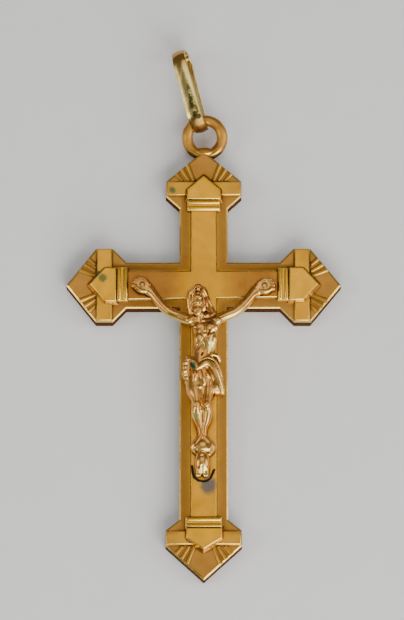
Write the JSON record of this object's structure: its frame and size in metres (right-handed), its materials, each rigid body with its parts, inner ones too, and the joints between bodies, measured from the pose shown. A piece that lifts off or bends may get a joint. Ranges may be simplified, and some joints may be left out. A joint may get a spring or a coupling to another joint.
{
  "type": "crucifix pendant",
  "caption": "Small gold-toned cross pendant with relief ends, a cast figure on its face, a soldered eye and a band bail; it lies on its flat back.",
  "frame": {"origin": "on the flat back, where the middle lines of the upright and the side arms cross", "axes": "+Y along the upright to the eye and bail, +X along the side arm to the right, +Z out of the face"},
  "size_m": [0.025, 0.0496, 0.0039],
  "materials": {
    "struck_gold": "satin struck gold, warm and slightly worn",
    "cast_rose_gold": "bright polished rose gold",
    "pale_gold": "bright polished pale yellow gold with fine scratches"
  },
  "bodies": {
    "root": {"cross": "struck_gold", "corpus": "cast_rose_gold", "bail": "pale_gold"}
  },
  "joints": []
}
